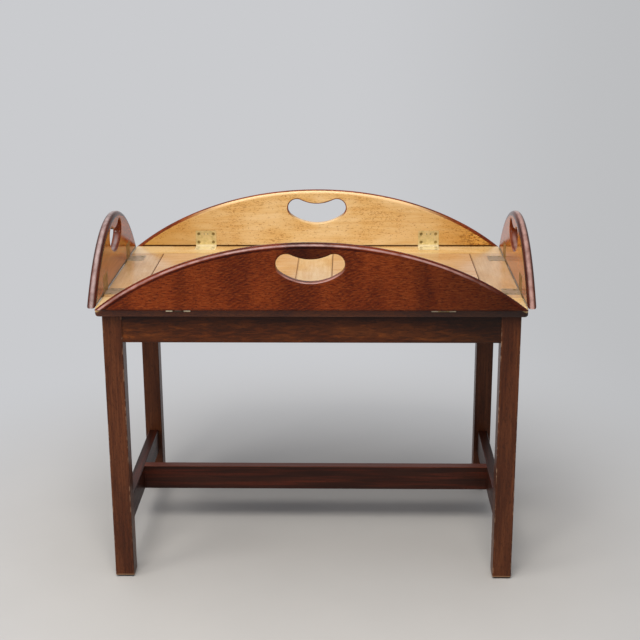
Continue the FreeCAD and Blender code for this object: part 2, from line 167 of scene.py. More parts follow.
def mahogany(tree, place, look):
    # gives the colour, and a height for the bump
    noise = {}
    for key in ("streak", "tone", "pore"):
        along, across = look[key + "Size"]
        sized = add(tree, "ShaderNodeMapping", {"Vector": place,
                    "Scale": (metre / along, metre / across, metre / across)}).outputs[0]
        noise[key] = add(tree, "ShaderNodeTexNoise", dict(grainLook[key], Vector=sized,
                         Scale=1)).outputs["Fac"]
    body = add(tree, "ShaderNodeValToRGB", {"Fac": noise["streak"]})
    fillRamp(body, look["ramp"])
    patch = softMask(tree, (noise["tone"], grainLook["patchFrom"]))
    toned = add(tree, "ShaderNodeMix", {"Factor": patch, 6: body.outputs["Color"], 7: linear(look["tone"])},
                data_type="RGBA", blend_type="MULTIPLY").outputs[2]
    leaned = add(tree, "ShaderNodeMapping", {"Vector": place,
                 "Rotation": (0, math.radians(look["curlLean"]), 0)}).outputs[0]
    curl = add(tree, "ShaderNodeTexWave", dict(grainLook["curl"], Vector=leaned,
               Scale=grainLook["waveSpacing"] / look["curlSize"]), bands_direction="Z").outputs["Fac"]
    curlLevel = add(tree, "ShaderNodeMapRange", {"Value": softMask(tree, curl, patch), "To Min": 1,
                    "To Max": 1 - look["curlDepth"]}).outputs[0]
    shaded = add(tree, "ShaderNodeVectorMath", {0: toned, "Scale": curlLevel}, operation="SCALE").outputs[0]
    # pores gather in some patches and leave others nearly clear
    gathered = add(tree, "ShaderNodeMath", {0: noise["tone"], 1: look["gather"], 2: noise["pore"]},
                   operation="MULTIPLY_ADD").outputs[0]
    lift = grainLook["middle"] * look["gather"]
    poreStart, poreEnd = look["poreFrom"]
    pores = add(tree, "ShaderNodeMapRange", {"Value": gathered, "From Min": poreStart + lift,
                "From Max": poreEnd + lift, "To Min": 0, "To Max": look["poreShare"]}).outputs[0]
    colour = add(tree, "ShaderNodeMix", {"Factor": pores, 6: shaded, 7: linear(look["pore"])},
                 data_type="RGBA")
    height = add(tree, "ShaderNodeMath", {0: noise["streak"], 1: pores}, operation="SUBTRACT")
    return colour.outputs[2], height.outputs[0]


# Finishes: shellac on the leaves, smoother on the side ones, which mirror the tray; rubbed on the
# tray, where dull is the roughness of its matt edge and underside; wax on the stand. vary is how much
# rougher the pores are, and how much smoother the rest.
shellac = {"rough": 0.2, "vary": (0.07, 0.04), "bump": 0.1, "specular": 0.13}
mirrorShellac = {"rough": 0.13, "vary": (0.02, 0.01), "bump": 0.02, "specular": 0.13}
rubbedShellac = {"rough": 0.22, "vary": (0.07, 0.04), "bump": 0.06, "specular": 0.45, "dull": 0.6}
wax = {"rough": 0.4, "vary": (0.07, 0.04), "bump": 0.15, "specular": 0.2}
# grainHeight is the range of mahogany's height, and grainDepth what it comes to in metres
polishLook = {"ior": 1.5, "grainHeight": (-0.4, 0.6), "grainDepth": 0.0004}


def polished(tree, colour, height, finish, dull=None):
    # polish over open grain: soft gloss that breaks up a little along the pores, matt where dull is 1
    low, high = polishLook["grainHeight"]
    rough = add(tree, "ShaderNodeMapRange", {"Value": height, "From Min": low, "From Max": high,
                "To Min": finish["rough"] + finish["vary"][0],
                "To Max": finish["rough"] - finish["vary"][1]}).outputs[0]
    if dull is not None:
        rough = add(tree, "ShaderNodeMix", {"Factor": dull, 2: rough, 3: finish["dull"]}).outputs[0]
    bump = add(tree, "ShaderNodeBump", {"Height": height, "Strength": finish["bump"],
               "Distance": polishLook["grainDepth"]})
    shader = add(tree, "ShaderNodeBsdfPrincipled", {"Base Color": colour, "Roughness": rough,
                 "IOR": polishLook["ior"], "Specular IOR Level": finish["specular"],
                 "Normal": bump.outputs[0]})
    add(tree, "ShaderNodeOutputMaterial", {"Surface": shader.outputs[0]})


# The front leaf, the front rail and the long aprons are painted darker towards the right, a painted shade,
# and there the painted highlight on the leaf's rim fades out.
rightShadeLook = {"tone": "#AAB0B4", "from": (0.06, 0.3), "highlightFade": (0.3, 0.19)}


def shadedRight(tree, colour, sideways):
    return add(tree, "ShaderNodeMix", {"Factor": softMask(tree, (sideways, rightShadeLook["from"])), 6: colour,
               7: linear(rightShadeLook["tone"])}, data_type="RGBA", blend_type="MULTIPLY").outputs[2]


# Leaves: honey inside, dark polish outside and over the round edge, whose crown carries a painted pale
# highlight. Lengths are in metres; turn, wrap, lipWrap, lipPale and band, which places the painted highlight
# across the edge, are shares of the thickness, counted from the inside; rim, the span of the rim's painted
# highlight, crown, paleFrom, underFrom and underTo are shares of the oval that the leaves make when they lie
# level.
leafLook = {
    "thickness": 0.0145, "oval": (0.4496, 0.3181), "pinHeight": 0.4698,
    "pinReach": {"x": 0.2091, "y": 0.3406},
    "tip": "#DEC27F", "tipFrom": {"x": (0.12, 0.34), "y": (0.08, 0.21)},  # the inside is browner at its ends
    "turn": (0.004, 0.03), "rim": (0.978, 0.985),  # where honey turns to dark polish
    # the span of the rim's painted highlight, and the size of the patches that break it up
    "highlight": (0.984, 0.988), "highlightPatchSize": 16, "highlightPatchDetail": 4, "highlightPatchFrom": (0.3, 0.6),  # patches sized in mm
    "lipFoot": (0.475, 0.482), "lipTop": (0.54, 0.522),  # heights of the handle's lower lip
    # the rear leaf's crown and lip, where honey wraps over and a pale highlight is painted, and its speckled
    # end
    "crown": (0.955, 0.97), "wrap": (0.13, 0.21), "lipWide": (0.12, 0.09), "lipWrap": (0.7, 0.85),
    "pale": "#E0BC8C", "paleFrom": (0.978, 0.988), "paleTo": (0.27, 0.15), "lipPale": (0.03, 0.12),
    "speckled": (0.25, 0.3),
    # the front leaf's painted shade under the rim, and the darker polish over its handle
    "paintedShadeUnderRim": "#94786C", "underFrom": (0.970, 0.9765), "underTo": (0.984, 0.979), "underEnd": (0.2, 0.06),
    "overHandleTone": "#A6A29A", "overHandleWide": (0.06, 0.02), "overHandleHigh": (0.546, 0.557),
    # heights of the painted shade along the foot
    "footShade": "#3A220C", "foot": {"x": (0.4762, 0.4744), "y": (0.4785, 0.4757)},
    "front": {"grain": "x", "outward": (0, -1, 0), "inner": 0.2059, "inside": fadedMahogany,
              "finish": shellac, "rimShade": "#E6CCC0", "paintedHighlight": "#B58E87", "bareAndHighlight": (0.25, 0.7),
              "band": ((0.84, 0.91), (0.995, 0.975)), "offset": (0.3, 1.7, 0.4)},
    "rear": {"grain": "x", "outward": (0, 1, 0), "inner": 0.2059, "inside": fadedMahogany, "finish": shellac,
             "offset": (2.1, 0.2, 1.3)},
    "left": {"grain": "y", "outward": (-1, 0, 0), "inner": 0.3374, "inside": duskyMahogany,
             "finish": mirrorShellac, "rimShade": "#A89C9C", "paintedHighlight": "#AE9896", "bareAndHighlight": (0.35, 0.75),
             "band": ((0.16, 0.42), (0.84, 0.56)), "offset": (4.2, 0.9, 2.2)},
    "right": {"grain": "y", "outward": (1, 0, 0), "inner": 0.3374, "inside": duskyMahogany,
              "finish": mirrorShellac, "rimShade": "#A89C9C", "paintedHighlight": "#B9938A", "bareAndHighlight": (0.3, 0.66),
              "band": ((0.16, 0.42), (0.84, 0.56)), "offset": (5.3, 2.8, 0.7)},
}

for name in tableSides:
    look = leafLook[name]
    material, tree = newMaterial("mahoganyPolishedLeaf" + name.capitalize())
    spot, place = grainPlace(tree, look["grain"], look["offset"])
    honey, honeyHeight = mahogany(tree, place, look["inside"])
    dark, darkHeight = mahogany(tree, place, darkMahogany)
    alongX = look["grain"] == "x"
    spots = add(tree, "ShaderNodeSeparateXYZ", {0: spot}).outputs
    high = spots["Z"]
    along = spots["X" if alongX else "Y"]
    fromMiddle = add(tree, "ShaderNodeMath", {0: along}, operation="ABSOLUTE").outputs[0]
    tipStart, tipEnd = leafLook["tipFrom"][look["grain"]]
    tipShare = add(tree, "ShaderNodeMapRange", {"Value": fromMiddle, "From Min": tipStart,
                   "From Max": tipEnd})
    honey = add(tree, "ShaderNodeMix", {"Factor": tipShare.outputs[0], 6: honey, 7: linear(leafLook["tip"])},
                data_type="RGBA", blend_type="MULTIPLY").outputs[2]
    # depth goes from 0 on the inner face to 1 on the outer one, and ovalShare is 1 on the oval's rim
    out = add(tree, "ShaderNodeVectorMath", {0: spot, 1: look["outward"]}, operation="DOT_PRODUCT")
    depth = add(tree, "ShaderNodeMapRange", {"Value": out.outputs["Value"], "From Min": look["inner"],
                "From Max": look["inner"] + leafLook["thickness"]}).outputs[0]
    darkShare = softMask(tree, (depth, leafLook["turn"]))
    long, short = leafLook["oval"]
    reach = leafLook["pinReach"][look["grain"]] - leafLook["pinHeight"]
    fitted = add(tree, "ShaderNodeMapping", {"Vector": spot,
                 "Location": (0, 0, reach / (short if alongX else long)),
                 "Scale": (1 / long, 0, 1 / short) if alongX else (0, 1 / short, 1 / long)})
    ovalShare = add(tree, "ShaderNodeVectorMath", {0: fitted.outputs[0]},
                    operation="LENGTH").outputs["Value"]
    lip = softMask(tree, (high, leafLook["lipFoot"]), (high, leafLook["lipTop"]))
    if name == "rear":
        # here honey wraps over the crown's middle and the handle's lower lip, which carry a painted pale
        # highlight
        middle = softMask(tree, (fromMiddle, leafLook["paleTo"]))
        crown = softMask(tree, (ovalShare, leafLook["crown"]), middle)
        lip = softMask(tree, lip, (fromMiddle, leafLook["lipWide"]))
        for where, span in ((crown, leafLook["wrap"]), (lip, leafLook["lipWrap"])):
            darkShare = add(tree, "ShaderNodeMix", {"Factor": where, 2: darkShare,
                            3: softMask(tree, (depth, span))}).outputs[0]
        speckles = mahogany(tree, place, speckledMahogany)[0]
        honey = add(tree, "ShaderNodeMix", {"Factor": softMask(tree, (along, leafLook["speckled"])),
                    6: honey, 7: speckles}, data_type="RGBA").outputs[2]
        paleCrown = softMask(tree, (ovalShare, leafLook["paleFrom"]), middle)
        paleLip = softMask(tree, lip, (depth, leafLook["lipPale"]))
        paleShare = add(tree, "ShaderNodeMath", {0: paleCrown, 1: paleLip}, operation="MAXIMUM").outputs[0]
        honey = add(tree, "ShaderNodeMix", {"Factor": paleShare, 6: honey, 7: linear(leafLook["pale"])},
                    data_type="RGBA").outputs[2]
    else:
        limits = [(depth, span) for span in look["band"]]
        if name == "front":
            # painted shade towards the right, where the rim's painted highlight fades out
            dark = shadedRight(tree, dark, along)
            limits.append((along, rightShadeLook["highlightFade"]))
            # the polish over the handle is darker, and a shade is painted under the rim
            grip = softMask(tree, (fromMiddle, leafLook["overHandleWide"]), (high, leafLook["overHandleHigh"]))
            under = softMask(tree, (ovalShare, leafLook["underFrom"]), (ovalShare, leafLook["underTo"]),
                             (along, leafLook["underEnd"]))
            for where, tone in ((grip, "overHandleTone"), (under, "paintedShadeUnderRim")):
                dark = add(tree, "ShaderNodeMix", {"Factor": where, 6: dark, 7: linear(leafLook[tone])},
                           data_type="RGBA", blend_type="MULTIPLY").outputs[2]
        # dark polish covers the whole rim, and a highlight is painted in patches along its crown and on the
        # handle's lip
        rim = softMask(tree, (ovalShare, leafLook["rim"]))
        # the rim's tone paints it darker and greyer: painted shade and a painted grey reflection
        dark = add(tree, "ShaderNodeMix", {"Factor": rim, 6: dark, 7: linear(look["rimShade"])},
                   data_type="RGBA", blend_type="MULTIPLY").outputs[2]
        darkShare = add(tree, "ShaderNodeMath", {0: darkShare, 1: rim}, operation="MAXIMUM").outputs[0]
        patches = add(tree, "ShaderNodeTexNoise", {"Vector": spot, "Scale": metre / leafLook["highlightPatchSize"],
                      "Detail": leafLook["highlightPatchDetail"]})
        bareAndHighlight = add(tree, "ShaderNodeMapRange", {"Value": patches.outputs["Fac"],
                   "From Min": leafLook["highlightPatchFrom"][0], "From Max": leafLook["highlightPatchFrom"][1],
                   "To Min": look["bareAndHighlight"][0], "To Max": look["bareAndHighlight"][1]}).outputs[0]
        highlight = add(tree, "ShaderNodeMath", {0: lip, 1: softMask(tree, (ovalShare, leafLook["highlight"]))},
                  operation="MAXIMUM").outputs[0]
        dark = add(tree, "ShaderNodeMix", {"Factor": softMask(tree, highlight, bareAndHighlight, *limits), 6: dark,
                   7: linear(look["paintedHighlight"])}, data_type="RGBA").outputs[2]
    # a shade is painted along the inside of the foot
    footShadeShare = softMask(tree, (high, leafLook["foot"][look["grain"]]))
    honey = add(tree, "ShaderNodeMix", {"Factor": footShadeShare, 6: honey, 7: linear(leafLook["footShade"])},
                data_type="RGBA").outputs[2]
    colour = add(tree, "ShaderNodeMix", {"Factor": darkShare, 6: honey, 7: dark}, data_type="RGBA")
    height = add(tree, "ShaderNodeMix", {"Factor": darkShare, 2: honeyHeight, 3: darkHeight})
    polished(tree, colour.outputs[2], height.outputs[0], look["finish"])
    dress(material, "leaf_" + name)
print("leaves dressed")

# Tray: honey on top and in the joints, dark and matt on the edge and the underside, with painted shade along
# the joints. round, back and bevel are the heights where dark turns to honey, and inner is where a rail's
# joint side begins.
trayLook = {
    "round": (0.4688, 0.4706), "back": (0.4706, 0.4724), "bevel": (0.4574, 0.459),
    "cornerFrom": (0.324, 0.337), "cornerDrop": 0.005,
    "shadeTone": "#9C7A62", "shadeShare": 0.45, "shadeWidth": (0.0006, 0.0026),
    "endJoints": ("X", (0.030, 0.279)), "endRailJoints": ("X", (0.279, 0.3378)),
    "railJoints": ("Y", (0.1475,)),
    "FrontRail": {"grain": "x", "offset": (0.6, 3.1, 1.9), "top": fadedMahogany, "change": "round",
                  "joints": "railJoints", "inner": (0.154, 0.151), "nodes": ("tray_rail_front",)},
    "RearRail": {"grain": "x", "offset": (0.6, 3.1, 1.9), "top": fadedMahogany, "change": "back",
                 "joints": "railJoints", "inner": (0.154, 0.151), "nodes": ("tray_rail_rear",)},
    "EndRail": {"grain": "y", "offset": (1.4, 0.5, 2.6), "top": endMahogany, "change": "round",
                "joints": "endRailJoints", "inner": (0.286, 0.283),
                "nodes": ("tray_rail_left", "tray_rail_right")},
    "Muntin": {"grain": "y", "offset": (2.4, 1.5, 0.6), "top": muntinMahogany, "change": "bevel",
               "joints": "endJoints", "nodes": ("tray_muntin",)},
    "Panel": {"grain": "x", "offset": (3.7, 1.1, 0.8), "top": panelMahogany, "change": "bevel",
              "joints": "endJoints", "nodes": ("tray_panel_left", "tray_panel_right")},
}

for name in ("FrontRail", "RearRail", "EndRail", "Muntin", "Panel"):
    look = trayLook[name]
    material, tree = newMaterial("mahoganyRubbedTray" + name)
    spot, place = grainPlace(tree, look["grain"], look["offset"])
    honey, honeyHeight = mahogany(tree, place, look["top"])
    dark, darkHeight = mahogany(tree, place, edgeMahogany)
    spots = add(tree, "ShaderNodeSeparateXYZ", {0: spot}).outputs
    high = spots["Z"]
    if name == "FrontRail":
        # painted shade towards the right
        dark = shadedRight(tree, dark, spots["X"])
        # round its corners the dark polish is worn away
        ends = add(tree, "ShaderNodeMath", {0: spots["X"]}, operation="ABSOLUTE").outputs[0]
        high = add(tree, "ShaderNodeMath", {0: softMask(tree, (ends, trayLook["cornerFrom"])),
                   1: trayLook["cornerDrop"], 2: high}, operation="MULTIPLY_ADD").outputs[0]
    axis, joints = trayLook[look["joints"]]
    fromMiddle = add(tree, "ShaderNodeMath", {0: spots[axis]}, operation="ABSOLUTE").outputs[0]
    # painted shade along the joints
    near, far = trayLook["shadeWidth"]
    for joint in joints:
        away = add(tree, "ShaderNodeMath", {0: fromMiddle, 1: joint}, operation="SUBTRACT")
        away = add(tree, "ShaderNodeMath", {0: away.outputs[0]}, operation="ABSOLUTE")
        shadeTone = add(tree, "ShaderNodeMapRange", {"Value": away.outputs[0], "From Min": near, "From Max": far,
                    "To Min": trayLook["shadeShare"], "To Max": 0})
        honey = add(tree, "ShaderNodeMix", {"Factor": shadeTone.outputs[0], 6: honey,
                    7: linear(trayLook["shadeTone"])}, data_type="RGBA", blend_type="MULTIPLY").outputs[2]
    share = softMask(tree, (high, trayLook[look["change"]]))
    if "inner" in look:
        share = add(tree, "ShaderNodeMath", {0: share, 1: softMask(tree, (fromMiddle, look["inner"]))},
                    operation="MAXIMUM").outputs[0]
    colour = add(tree, "ShaderNodeMix", {"Factor": share, 6: dark, 7: honey}, data_type="RGBA")
    height = add(tree, "ShaderNodeMix", {"Factor": share, 2: darkHeight, 3: honeyHeight})
    dull = add(tree, "ShaderNodeMath", {0: 1, 1: share}, operation="SUBTRACT")
    polished(tree, colour.outputs[2], height.outputs[0], rubbedShellac, dull.outputs[0])
    dress(material, *look["nodes"])
print("tray dressed")

# Stand: grain along each bar. The aprons are painted darker under the board, a painted shade; the front
# legs' arrises show flecks of wear and a painted highlight, the legs are lighter near the soles and painted
# dark at the soles, a painted shade; and a highlight is painted along the long stretcher's top.
apronLook = {"shadeTone": "#B4ACAC", "from": (0.42, 0.452)}
arrisLook = {"middle": (0.3145, 0.1815, 0), "from": (0.0134, 0.0146), "bareAndHighlight": "#9A7A62", "share": 0.5,
             "fleckSize": 12, "fleckDetail": 3, "fleckFrom": (0.5, 0.64), "front": (-0.1, -0.15)}
soleLook = {"height": 0.0046, "half": 0.0009, "bareAndHighlight": "#9A7A5C", "share": 0.55,
            "footShade": "#1C110B", "footShadeTo": (0.0038, 0.003)}
barLook = {"paintedHighlight": "#8E4630", "share": 0.32, "from": (0.1188, 0.12)}
standLook = {
    "Leg": ("z", (1.7, 0.2, 0.6), legMahogany,
            ["leg_%s_%s" % (a, b) for a in ("front", "rear") for b in ("left", "right")]),
    "Apron": ("x", (2.3, 0.4, 1.2), apronMahogany, ["apron_front", "apron_rear"]),
    "SideApron": ("y", (1.1, 2.2, 0.3), apronMahogany,
                  ["apron_left", "apron_right", "cleat_left", "cleat_right"]),
    "Stretcher": ("x", (3.3, 0.9, 2.2), stretcherMahogany, ["stretcher_center"]),
    "SideStretcher": ("y", (0.7, 1.9, 1.6), stretcherMahogany, ["stretcher_left", "stretcher_right"]),
}

for name, (along, offset, look, members) in standLook.items():
    material, tree = newMaterial("mahoganyWaxed" + name)
    spot, place = grainPlace(tree, along, offset)
    colour, height = mahogany(tree, place, look)
    spots = add(tree, "ShaderNodeSeparateXYZ", {0: spot}).outputs
    high = spots["Z"]
    # the marks below: wear of the polish, and painted shade and highlight
    wearAndPaintedLight = []  # each mask with the bare or dirty wood that shows there
    if name == "Apron":
        # painted shade: darker towards the right, and darker under the board
        colour = shadedRight(tree, colour, spots["X"])
        colour = add(tree, "ShaderNodeMix", {"Factor": softMask(tree, (high, apronLook["from"])), 6: colour,
                     7: linear(apronLook["shadeTone"])}, data_type="RGBA", blend_type="MULTIPLY").outputs[2]
    if name == "Leg":
        # how far a point is from its leg's middle; near an arris it is far both ways
        aside = add(tree, "ShaderNodeVectorMath", {0: spot}, operation="ABSOLUTE").outputs[0]
        aside = add(tree, "ShaderNodeVectorMath", {0: aside, 1: arrisLook["middle"]},
                    operation="SUBTRACT").outputs[0]
        aside = add(tree, "ShaderNodeVectorMath", {0: aside}, operation="ABSOLUTE").outputs[0]
        faces = add(tree, "ShaderNodeSeparateXYZ", {0: aside}).outputs
        arris = add(tree, "ShaderNodeMath", {0: faces["X"], 1: faces["Y"]}, operation="MINIMUM").outputs[0]
        flecks = add(tree, "ShaderNodeTexNoise", {"Vector": spot, "Scale": metre / arrisLook["fleckSize"],
                     "Detail": arrisLook["fleckDetail"]}).outputs["Fac"]
        sole = add(tree, "ShaderNodeMath", {0: high, 1: soleLook["height"], 2: soleLook["half"]},
                   operation="COMPARE").outputs[0]
        # front arrises: flecks of wear and a painted highlight; near the soles lighter wear, and a painted
        # shade at the soles
        wearAndPaintedLight = [(softMask(tree, (arris, arrisLook["from"]), (flecks, arrisLook["fleckFrom"]),
                          (spots["Y"], arrisLook["front"]), arrisLook["share"]), arrisLook["bareAndHighlight"]),
                (softMask(tree, sole, soleLook["share"]), soleLook["bareAndHighlight"]),
                (softMask(tree, (high, soleLook["footShadeTo"])), soleLook["footShade"])]
    if name == "Stretcher":
        # a painted highlight along the top
        wearAndPaintedLight = [(softMask(tree, (high, barLook["from"]), barLook["share"]), barLook["paintedHighlight"])]
    for where, hexCode in wearAndPaintedLight:
        colour = add(tree, "ShaderNodeMix", {"Factor": where, 6: colour, 7: linear(hexCode)},
                     data_type="RGBA").outputs[2]
    polished(tree, colour, height, wax)
    dress(material, *members)
print("stand dressed")

# Brass, cast and filed flat, gone dull: pale yellow with brown-green tarnish and fine scratches. Tarnish and
# scratches are sized in mm; scratches are drawn about five times too wide, or they would not show.
brassLook = {
    "ramp": ((0.3, "#BEAC76"), (0.52, "#D5C28C"), (0.75, "#E2D2A4")), "metallic": 0.7,
    "tarnish": 9, "tarnishNoise": {"Detail": 4, "Roughness": 0.65}, "tarnishFrom": (0.3, 0.7),
    "vary": (0.14, 0.05),  # how much rougher the tarnish is, and how much smoother the rest
    "scratch": (14, 0.5), "scratchTurn": 0.5, "scratchDetail": 2, "bump": 0.25, "scratchDepth": 0.0002,
}
# What each piece's metal is called, its roughness and how it differs. At the front's left hinge the leaf
# plate's knuckles carry a painted highlight and the one between them a painted shade, and at its right hinge
# all are dull; the rear leaf plates' knuckles carry a painted highlight, the rear plates are paler, the side
# ones brown or grey, the screws darker. The springs and the cleats' screws are blued steel.
metalLook = {
    # the knuckles' colours paint their light: highlight at the front's left hinge and the rear, shade on the
    # one between
    "paintedHighlight": ("brassPlatePaintedHighlightKnuckle", 0.42, {"knuckle": ("Z", (0.4746, 0.4728), "#F2E8C6")}),
    "shadedKnuckle": ("brassPlatePaintedShadeKnuckle", 0.45, {"knuckle": ("Y", (-0.2042, -0.2062), "#4A3E26")}),
    "dimKnuckle": ("brassPlateDimKnuckle", 0.42, {"knuckle": ("Z", (0.4746, 0.4728), "#B2A48B")}),
    "even": ("brassPlateEvenKnuckle", 0.45, {"knuckle": ("Y", (-0.2042, -0.2062), "#968052")}),
    "wearAndPaintedLight": ("brassPlateRearPaintedHighlightKnuckle", 0.42, {"knuckle": ("Z", (0.4768, 0.4748), "#E8DCBE")}),
    "pale": ("brassPlateWornPale", 0.42, {"ramp": ((0.3, "#CDC09C"), (0.52, "#DCD1B0"), (0.75, "#E8DFC4"))}),
    "tarnished": ("brassPlateTarnished", 0.45,
                  {"ramp": ((0.3, "#8D7A61"), (0.52, "#AC957A"), (0.75, "#C5AD92"))}),
    "browned": ("brassPlateBrowned", 0.45,
                {"ramp": ((0.3, "#866638"), (0.52, "#9C7A4A"), (0.75, "#AE8D5E"))}),
    "screw": ("brassScrewWorn", 0.4, {"ramp": ((0.3, "#6B5A33"), (0.52, "#94804A"), (0.75, "#B8A268"))}),
    "spring": ("springSteelBlued", 0.38, {"ramp": ((0.3, "#4A4744"), (0.52, "#6E6A64"), (0.75, "#8C877E"))}),
}
# tray plate and leaf plate of each hinge; the front's first hinge is its right one
plateMetals = {"front": (("even", "dimKnuckle"), ("shadedKnuckle", "paintedHighlight")), "rear": (("pale", "wearAndPaintedLight"),) * 2,
               "left": (("tarnished", "browned"),) * 2, "right": (("tarnished", "browned"),) * 2}


def tarnishedMetal(name, rough, look):
    material, tree = newMaterial(name)
    spot = add(tree, "ShaderNodeTexCoord").outputs["Object"]
    tarnish = add(tree, "ShaderNodeTexNoise", dict(look["tarnishNoise"], Vector=spot,
                  Scale=metre / look["tarnish"])).outputs["Fac"]
    ramp = add(tree, "ShaderNodeValToRGB", {"Fac": tarnish})
    fillRamp(ramp, look["ramp"])
    colour = ramp.outputs["Color"]
    if "knuckle" in look:
        axis, span, hexCode = look["knuckle"]
        spots = add(tree, "ShaderNodeSeparateXYZ", {0: spot}).outputs
        colour = add(tree, "ShaderNodeMix", {"Factor": softMask(tree, (spots[axis], span)), 6: colour,
                     7: linear(hexCode)}, data_type="RGBA").outputs[2]
    along, across = look["scratch"]
    drawn = add(tree, "ShaderNodeMapping", {"Vector": spot, "Rotation": (0, 0, look["scratchTurn"]),
                "Scale": (metre / along, metre / across, metre / across)})
    scratch = add(tree, "ShaderNodeTexNoise", {"Vector": drawn.outputs[0], "Scale": 1,
                  "Detail": look["scratchDetail"]})
    low, high = look["tarnishFrom"]
    rougher, smoother = look["vary"]
    roughness = add(tree, "ShaderNodeMapRange", {"Value": tarnish, "From Min": low, "From Max": high,
                    "To Min": rough + rougher, "To Max": rough - smoother})
    bump = add(tree, "ShaderNodeBump", {"Height": scratch.outputs["Fac"], "Strength": look["bump"],
               "Distance": look["scratchDepth"]})
    shader = add(tree, "ShaderNodeBsdfPrincipled", {"Base Color": colour, "Metallic": look["metallic"],
                 "Roughness": roughness.outputs[0], "Normal": bump.outputs[0]})
    add(tree, "ShaderNodeOutputMaterial", {"Surface": shader.outputs[0]})
    return material


metals = {key: tarnishedMetal(name, rough, dict(brassLook, **own))
          for key, (name, rough, own) in metalLook.items()}
for side in tableSides:
    for number, (trayMetal, leafMetal) in enumerate(plateMetals[side], 1):
        dress(metals[trayMetal], "hinge_%s_%d_tray_plate" % (side, number))
        dress(metals[leafMetal], "hinge_%s_%d_leaf_plate" % (side, number))
    dress(metals["tarnished"], "hinge_pins_" + side)
    dress(metals["spring"], "hinge_springs_" + side)
print("hinges dressed")

# Screws, in mm: turned heads with a sawn slot, each stopped at its own angle. crown, flat, ease and edge
# shape the head's profile, flat and sawLength as shares of its radius; sink is how deep it sits, and
# firstTurn and nextTurn are the slots' angles in degrees. spread and rows place the holes in a plate,
# whose face is above the middle of its pin.
screwLook = {
    "leaf": (3.0, 1.5, 9), "tray": (3.0, 1.5, 11), "cleat": (4.0, 2.0, 22),  # head and shank radius, length
    "crown": 0.02, "flat": 0.6, "ease": (0.15, 0.04), "edge": 0.16, "sections": 40, "weld": 0.001,
    "slot": (0.9, 0.8), "sawLength": 2.4, "firstTurn": 37, "nextTurn": 71, "sink": 0.1,
    "spread": 13.5, "rows": (10.8, 26.3), "pinHeight": 469.8, "face": 3.2,
    "cleatX": 299.5, "cleatY": (-125.5, 0, 125.5), "cleatFoot": 445.0,
}
# each side's turn in degrees, its pins' distance from the table's middle, and its hinges' distance
# from the side's middle
hingeLines = {"front": (180, 209.1, 207.0), "rear": (0, 209.1, 207.0),
              "left": (90, 340.6, 112.0), "right": (-90, 340.6, 112.0)}


def slottedScrew(head, shank, length):
    # head up at z = 0: a shallow crown, a countersunk cone and a shank with a point
    easeWide, easeDeep = screwLook["ease"]
    profile = [(0, screwLook["crown"]), (head * screwLook["flat"], 0.0), (head - easeWide, -easeDeep),
               (head, -screwLook["edge"]), (shank, -(head - shank)), (shank, -length + shank), (0, -length)]
    body = bmesh.new()
    ring = [body.verts.new((x, 0, z)) for x, z in profile]
    edges = [body.edges.new(pair) for pair in zip(ring, ring[1:])]
    bmesh.ops.spin(body, geom=ring + edges, cent=(0, 0, 0), axis=(0, 0, 1), angle=2 * math.pi,
                   steps=screwLook["sections"], use_duplicate=False)
    bmesh.ops.remove_doubles(body, verts=body.verts, dist=screwLook["weld"])
    bmesh.ops.recalc_face_normals(body, faces=body.faces)
    # the saw is a block centred on the head's top, so half its height cuts
    slotWide, slotDeep = screwLook["slot"]
    saw = bmesh.new()
    bmesh.ops.create_cube(saw, size=1, matrix=Matrix.Diagonal((screwLook["sawLength"] * head, slotWide,
                                                                2 * slotDeep, 1)))
    drafts = []
    for source in (body, saw):
        mesh = bpy.data.meshes.new("screwDraft")
        source.to_mesh(mesh)
        source.free()
        drafts.append(bpy.data.objects.new("screwDraft", mesh))
        scene.collection.objects.link(drafts[-1])
    cut = drafts[0].modifiers.new("slot", "BOOLEAN")
    cut.object = drafts[1]
    cut.solver = "EXACT"
    cutMesh = bpy.data.meshes.new_from_object(drafts[0].evaluated_get(bpy.context.evaluated_depsgraph_get()))
    for draft in drafts:
        bpy.data.objects.remove(draft)
    return cutMesh


def setScrews(name, screw, places, body, node, material):
    # one object for a set of equal screws; places are matrices in mm
    gathered = bmesh.new()
    for number, place in enumerate(places):
        first = len(gathered.verts)
        gathered.from_mesh(screw)
        gathered.verts.ensure_lookup_table()
        turn = math.radians(screwLook["firstTurn"] + screwLook["nextTurn"] * number)
        seated = Matrix.Scale(1 / metre, 4) @ place @ Matrix.Rotation(turn, 4, "Z")
        bmesh.ops.transform(gathered, matrix=seated, verts=gathered.verts[first:])
    mesh = bpy.data.meshes.new(name)
    gathered.to_mesh(mesh)
    gathered.free()
    mesh.materials.append(material)
    piece = bpy.data.objects.new(name, mesh)
    scene.collection.objects.link(piece)
    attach(piece, body)
    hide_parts(node)


screws = {key: slottedScrew(*screwLook[key]) for key in ("leaf", "tray", "cleat")}
spread = screwLook["spread"]
top = screwLook["face"] - screwLook["sink"]
upright = Matrix.Rotation(math.pi / 2, 4, "X")
trayPlaces = []
for side, (turn, reach, hinge) in hingeLines.items():
    pins = Matrix.Translation((0, reach, screwLook["pinHeight"]))
    seat = Matrix.Rotation(math.radians(turn), 4, "Z") @ pins
    holes = [(x + s, row) for x in (-hinge, hinge) for s in (-spread, spread) for row in screwLook["rows"]]
    leafPlaces = [seat @ upright @ Matrix.Translation((x, row, top)) for x, row in holes]
    trayPlaces += [seat @ Matrix.Translation((x, -row, top)) for x, row in holes]
    setScrews("leafScrews" + side.capitalize(), screws["leaf"], leafPlaces, side + "_leaf",
              "leaf_screws_" + side, metals["screw"])
setScrews("trayScrews", screws["tray"], trayPlaces, "tray", "tray_screws", metals["screw"])
headDown = Matrix.Rotation(math.pi, 4, "X")
cleatHeight = screwLook["cleatFoot"] + screwLook["sink"]
